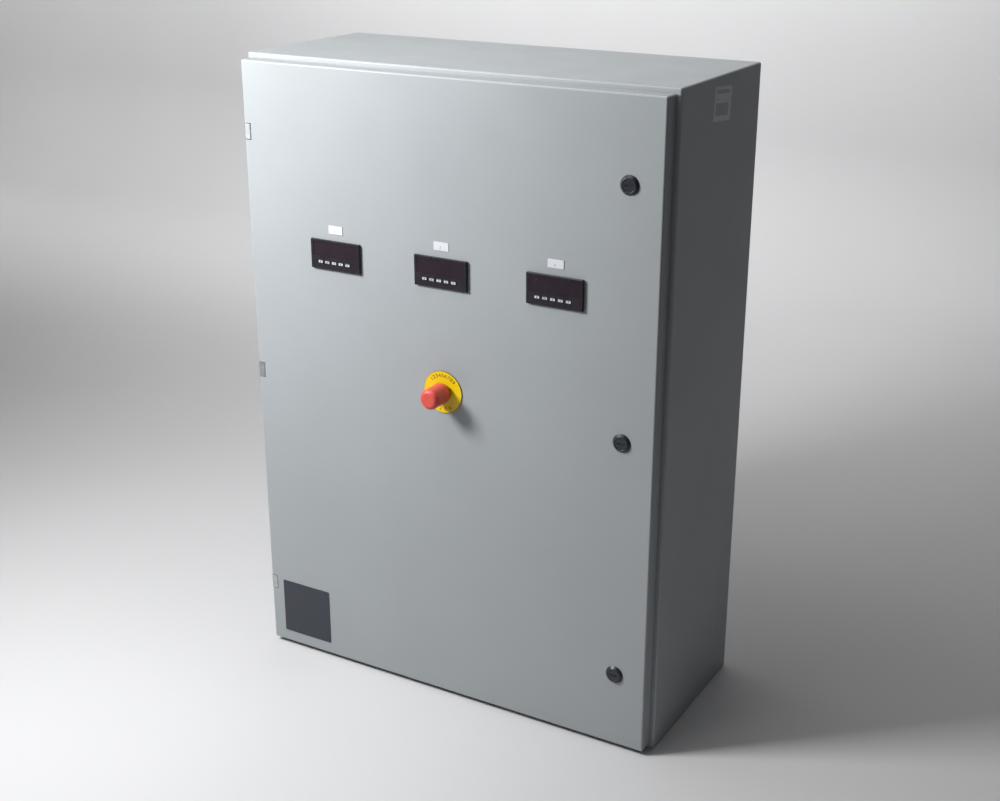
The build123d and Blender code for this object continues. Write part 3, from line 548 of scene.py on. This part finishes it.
def arrow(x, z, size, angle):
    """A three-cornered arrow head."""
    foot = z - size * 0.7
    return turned([(x - size, foot), (x + size, foot), (x, z + size * 0.8)], (x, z), angle)


def key_signs(number, x, z):
    """The dark outlines inside a key's white field."""
    if number == 1:
        return [round_disc(x, z, dot_r, 14)]
    if number == 2:
        return [round_rect(x, z + way * bar_rise, bar_w, bar_h, bar_r, 2) for way in (-1, 1)]
    return [arrow(x, z, arrow_size, math.radians(arrow_turns[number]))]


for side in meter_sides:
    for number in range(1, 6):
        key = f"meter_{side}_key_{number}"
        low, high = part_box(key)
        x, z = (low.x + high.x) / 2, (low.z + high.z) / 2
        field = low.y - sign_t
        shape = bmesh.new()
        raise_outline(shape, round_rect(x, z, sign_w, sign_h, sign_r), low.y, field, sign_ease)
        for sign in key_signs(number, x, z):
            raise_outline(shape, sign, field, field - print_t, 0.0, 1)
        keep_piece(f"{key}_sign", shape, key, "tag_white", sign_grey, finishes["key_rubber"])

# %% [markdown]
# ## Numbered tags
# The white tags over the meters are engraved laminate. The text helper from the yellow disc serves
# again, so the tags count the meters from left to right.

# %% Numbers on the tags
tag_low, tag_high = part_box("meter_tags")
tag_z, tag_face = (tag_low.z + tag_high.z) / 2, tag_low.y
number_h, number_side, number_drop = 3.8 * mm, 1.5 * mm, 2.4 * mm
for number, side in enumerate(meter_sides, 1):
    spot = (meter_x[side] - number_side, tag_face, tag_z - number_drop)
    shape = bmesh.new()
    shape.from_mesh(drawn_text(str(number), number_h))
    shape.transform(Matrix.Translation(spot) @ Matrix.Rotation(math.pi / 2, 4, "X"))
    keep_piece(f"tag_number_{number}", shape, "door", "operator_black")

# %% [markdown]
# ## Film frames on the side
# High on the right side, two blank frames of thin clear film are stuck on, a little crooked, as a
# fitter leaves them. They could be painted into the sheet's finish, but a real film stands off the
# paint and shines by itself. So they are drawn flat, tilted, and then turned to face the side.

# %% Frames on the right side
body_low, body_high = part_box("enclosure_shell")
film_y, film_z, film_tilt = -0.3 * mm, 1024.6 * mm, math.radians(-5.5)
film_w, film_t, film_r = 65 * mm, 0.12 * mm, 1.5 * mm
hole_w, hole_r, hole_shift, hole_rise = 49 * mm, 1.0 * mm, -1.6 * mm, 1.5 * mm
# each frame's middle above the pair's, its height and the height of the hole in it
film_rows = [(16 * mm, 18.5 * mm, 6 * mm), (-9.6 * mm, 31.5 * mm, 18 * mm)]
film = moulded("film_grey", screen(190, 195, 200), 0.35, 0.002, 0.000005)
shape = bmesh.new()
for rise, height, hole_h in film_rows:
    outer = round_rect(0, rise, film_w, height, film_r)
    inner = round_rect(hole_shift, rise + hole_rise, hole_w, hole_h, hole_r)
    raise_ring(shape, turned(outer, (0, 0), film_tilt), turned(inner, (0, 0), film_tilt), 0.0, -film_t)
to_side = Matrix.Translation((body_high.x, film_y, film_z)) @ Matrix.Rotation(math.pi / 2, 4, "Z")
shape.transform(to_side)
keep_piece("side_film_frames", shape, "enclosure", "unit_grey", film)

# %% [markdown]
# ## Terminal screws inside
# With the door open, the gear on the back panel shows rows of slotted screws between ribs. A screw
# could be a plain disc with a dark line painted on it, but a slot cut for real catches light from
# every side. So each head is a thin disc with two half moons on it, and the rows come from a table.

# %% Set slotted screws in a row
rail_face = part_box("mounting_rails")[0].y
print("the rails' faces stand at y =", round(rail_face / mm, 1), "mm")


def half_moons(x, z, radius, slot, turn, steps=8):
    """The two halves of a slotted screw head."""
    halves = []
    open_angle = math.asin(slot / 2 / radius)
    step_angle = (math.pi - 2 * open_angle) / steps
    for start in (turn, turn + math.pi):
        angles = [start + open_angle + step_angle * i for i in range(steps + 1)]
        halves.append([(x + radius * math.cos(a), z + radius * math.sin(a)) for a in angles])
    return halves


def slotted_head(shape, x, z, seat, radius, proud, turn):
    """A slotted screw head that stands off the depth seat, towards the door."""
    raise_outline(shape, round_disc(x, z, radius, 16), seat, seat - proud * 0.4)
    for half in half_moons(x, z, radius * 0.98, radius * 0.42, turn):
        raise_outline(shape, half, seat - proud * 0.4, seat - proud, radius * 0.12)


def keep_screws(name, spots, seat, radius, proud):
    """Slotted screws at the spots, each turned a little further than the last."""
    shape = bmesh.new()
    for i, (x, z) in enumerate(spots):
        slotted_head(shape, x, z, seat, radius, proud, 0.9 * i)
    keep_piece(name, shape, "enclosure", "fastener_steel")


# %% Rows of screws and ribs on the gear
def middle(name):
    """The middle of a solid, as x and z."""
    low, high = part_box(name)
    return (low.x + high.x) / 2, (low.z + high.z) / 2


def grid(centres, count, pitch, heights):
    """Spots in level rows about each centre."""
    return [(x + (i - (count - 1) / 2) * pitch, z)
            for x in centres for z in heights for i in range(count)]


low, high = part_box("io_modules")
module_xs = [low.x + (high.x - low.x) * share for share in (0.25, 0.75)]
# lengths in mm: a row lies the rise above and below the middle, on a step that far off the rail
gear_rows = {
    "breaker": dict(solid="main_breaker", screws=2, pitch=18, rise=32.5, step=44, radius=3.4,
                    proud=1.6, rib_slot="breaker_white", rib_pitch=17, rib_w=1.6, rib_h=18, rib_d=5),
    "supply": dict(solid="power_supply", screws=5, pitch=11, rise=51.5, step=94, radius=3.0,
                   proud=1.6, rib_slot="socket_grey", rib_pitch=11, rib_w=1.4, rib_h=17, rib_d=8),
    "controller": dict(solid="controller", screws=14, pitch=9.4, rise=39.5, step=54, radius=2.6,
                       proud=1.4, rib_slot="socket_grey", rib_pitch=9.4, rib_w=1.2, rib_h=16, rib_d=6),
    "module": dict(solid="io_modules", screws=4, pitch=10, rise=39.5, step=54, radius=2.6,
                   proud=1.4, rib_slot="socket_grey", rib_pitch=10, rib_w=1.2, rib_h=16, rib_d=6),
}
for name, row in gear_rows.items():
    x, z = middle(row["solid"])
    centres = module_xs if name == "module" else [x]
    heights = (z - row["rise"] * mm, z + row["rise"] * mm)
    seat = rail_face - row["step"] * mm
    spots = grid(centres, row["screws"], row["pitch"] * mm, heights)
    keep_screws(f"{name}_screws", spots, seat, row["radius"] * mm, row["proud"] * mm)
    rib_w, rib_h, rib_d = row["rib_w"] * mm, row["rib_h"] * mm, row["rib_d"] * mm
    shape = bmesh.new()
    for rib_x, rib_z in grid(centres, row["screws"] + 1, row["rib_pitch"] * mm, heights):
        rib = round_rect(rib_x, rib_z, rib_w, rib_h, rib_w * 0.4, 2)
        raise_outline(shape, rib, seat, seat - rib_d, rib_w * 0.2)
    keep_piece(f"{name}_ribs", shape, "enclosure", row["rib_slot"])

# %% Screws on the relay sockets and terminal blocks
socket_pitch, socket_first, socket_step = 27.9 * mm, 13.75 * mm, 34 * mm
low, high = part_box("relay_sockets")
socket_xs = [low.x + socket_first + i * socket_pitch for i in range(6)]
z = (low.z + high.z) / 2
socket_rows = [z + way * rise * mm for way in (-1, 1) for rise in (24.5, 34)]
keep_screws("socket_screws", grid(socket_xs, 2, 13 * mm, socket_rows), rail_face - socket_step,
            3.0 * mm, 1.5 * mm)
terminal_x, terminal_z = middle("terminal_blocks")
terminal_pitch, terminal_count, terminal_step, terminal_rise = 6.2 * mm, 30, 28.3 * mm, 20.02 * mm
terminal_rows = (terminal_z - terminal_rise, terminal_z + terminal_rise)
keep_screws("terminal_screws", grid([terminal_x], terminal_count, terminal_pitch, terminal_rows),
            rail_face - terminal_step, 1.7 * mm, 1.2 * mm)

# %% [markdown]
# ## Faces of the control gear
# Real modules carry blank label fields, rows of small lamps, test buttons and marker tabs. They are
# thin plates and low domes, so the same raised outlines serve, gathered in one piece per kind.

# %% Label and lamp of the power supply
lamp_green = moulded("lamp_green", screen(92, 150, 96), 0.2)


def raised_set(name, outlines, seat, proud, ease, slot, *coats):
    """Several outlines that stand off one face, kept as one piece."""
    shape = bmesh.new()
    for outline in outlines:
        raise_outline(shape, outline, seat, seat - proud, ease)
    keep_piece(name, shape, "enclosure", slot, *coats)


x, z = middle("power_supply")
supply_front = rail_face - 112 * mm
supply_label = round_rect(x, z - 6 * mm, 48 * mm, 50 * mm, 2 * mm)
raised_set("supply_label", [supply_label], supply_front, 0.5 * mm, 0.2 * mm, "plate_dark")
supply_lamp = round_disc(x + 18 * mm, z + 30 * mm, 2.4 * mm, 20)
raised_set("supply_lamp", [supply_lamp], supply_front, 1.4 * mm, 0.9 * mm, "plug_green", lamp_green)

# %% Cover, labels and lamps of the controller and its modules
x, z = middle("controller")
unit_front, cover_t, cover_x = rail_face - 70 * mm, 1.2 * mm, x + 22 * mm
cover = round_rect(cover_x, z, 80 * mm, 44 * mm, 3 * mm)
raised_set("controller_cover", [cover], unit_front, cover_t, 0.5 * mm, "unit_grey")
label = round_rect(cover_x, z + 8 * mm, 64 * mm, 16 * mm, 1 * mm)
raised_set("controller_label", [label], unit_front - cover_t, 0.3 * mm, 0.1 * mm, "breaker_white")
spots = grid([cover_x], 10, 6.2 * mm, (z - 8 * mm, z - 14 * mm))
lamps = [round_rect(lx, lz, 3.2 * mm, 2.2 * mm, 0.6 * mm, 2) for lx, lz in spots]
raised_set("controller_lamps", lamps, unit_front - cover_t, 0.5 * mm, 0.25 * mm, "plug_green",
           lamp_green)
labels = [round_rect(mx, z - 6 * mm, 36 * mm, 26 * mm, 1 * mm) for mx in module_xs]
raised_set("module_labels", labels, unit_front, 0.4 * mm, 0.15 * mm, "breaker_white")
spots = grid(module_xs, 8, 4.4 * mm, (z + 18 * mm,))
lamps = [round_rect(lx, lz, 2.6 * mm, 2.2 * mm, 0.5 * mm, 2) for lx, lz in spots]
raised_set("module_lamps", lamps, unit_front, 0.6 * mm, 0.25 * mm, "plug_green", lamp_green)

# %% Breaker strip, relay levers and terminal markers
lever_orange = moulded("lever_orange", screen(222, 112, 34), 0.4)
x, z = middle("main_breaker")
nose_front = rail_face - 66 * mm
strip = round_rect(x, z + 17.5 * mm, 30 * mm, 6 * mm, 0.8 * mm)
raised_set("breaker_strip", [strip], nose_front, 0.3 * mm, 0.1 * mm, "plate_dark")
z, relay_face = middle("relays")[1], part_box("relays")[0].y
levers = [round_rect(sx, z + 9 * mm, 5 * mm, 4 * mm, 0.8 * mm, 3) for sx in socket_xs]
raised_set("relay_levers", levers, relay_face, 1.6 * mm, 0.5 * mm, "toggle_black", lever_orange)
labels = [round_rect(sx, z - 3.5 * mm, 16 * mm, 13 * mm, 0.8 * mm) for sx in socket_xs]
raised_set("relay_labels", labels, relay_face, 0.2 * mm, 0.08 * mm, "breaker_white")
terminal_face, marker_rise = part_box("terminal_blocks")[0].y, 7 * mm
marker_rows = (terminal_z - marker_rise, terminal_z + marker_rise)
spots = grid([terminal_x], terminal_count, terminal_pitch, marker_rows)
markers = [round_rect(mx, mz, 5.0 * mm, 8.4 * mm, 0.5 * mm, 2) for mx, mz in spots]
raised_set("terminal_markers", markers, terminal_face, 0.8 * mm, 0.25 * mm, "breaker_white")

# %% [markdown]
# ## Earth bar screws
# The bar's screws are slotted cheese heads. CAD holds them as plain discs for collision, so cut
# heads stand in for that solid here.

# %% Slotted heads on the brass bar
low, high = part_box("ground_bar_screws")
ground_count = 8
screw_r, screw_z, screw_proud = (high.z - low.z) / 2, (low.z + high.z) / 2, high.y - low.y
ground_pitch = (high.x - low.x - 2 * screw_r) / (ground_count - 1)
shape = bmesh.new()
for i in range(ground_count):
    screw_x = low.x + screw_r + i * ground_pitch
    slotted_head(shape, screw_x, screw_z, high.y, screw_r, screw_proud, 0.7 * i)
ground_heads = keep_piece("ground_screw_heads", shape, "enclosure", "fastener_steel")
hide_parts("ground_bar_screws")

# %% [markdown]
# ## Back of the emergency stop
# Behind the door, the stop's contact block is wired at four screws. They face the inside of the box,
# so their outlines are raised the other way.

# %% Screws on the contact block
low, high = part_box("estop_contact_block")
contact_side, contact_rise = 9 * mm, 14 * mm
contact_r, contact_step, contact_top = 3.2 * mm, 0.6 * mm, 1.5 * mm
shape = bmesh.new()
for i, (sx, sz) in enumerate(((-1, -1), (1, -1), (-1, 1), (1, 1))):
    x, z = stop_x + sx * contact_side, stop_z + sz * contact_rise
    raise_outline(shape, round_disc(x, z, contact_r, 16), high.y, high.y + contact_step)
    for half in half_moons(x, z, contact_r - 0.1 * mm, 1.3 * mm, 0.8 * i):
        raise_outline(shape, half, high.y + contact_step, high.y + contact_top, 0.3 * mm)
keep_piece("contact_block_screws", shape, "door", "fastener_steel")
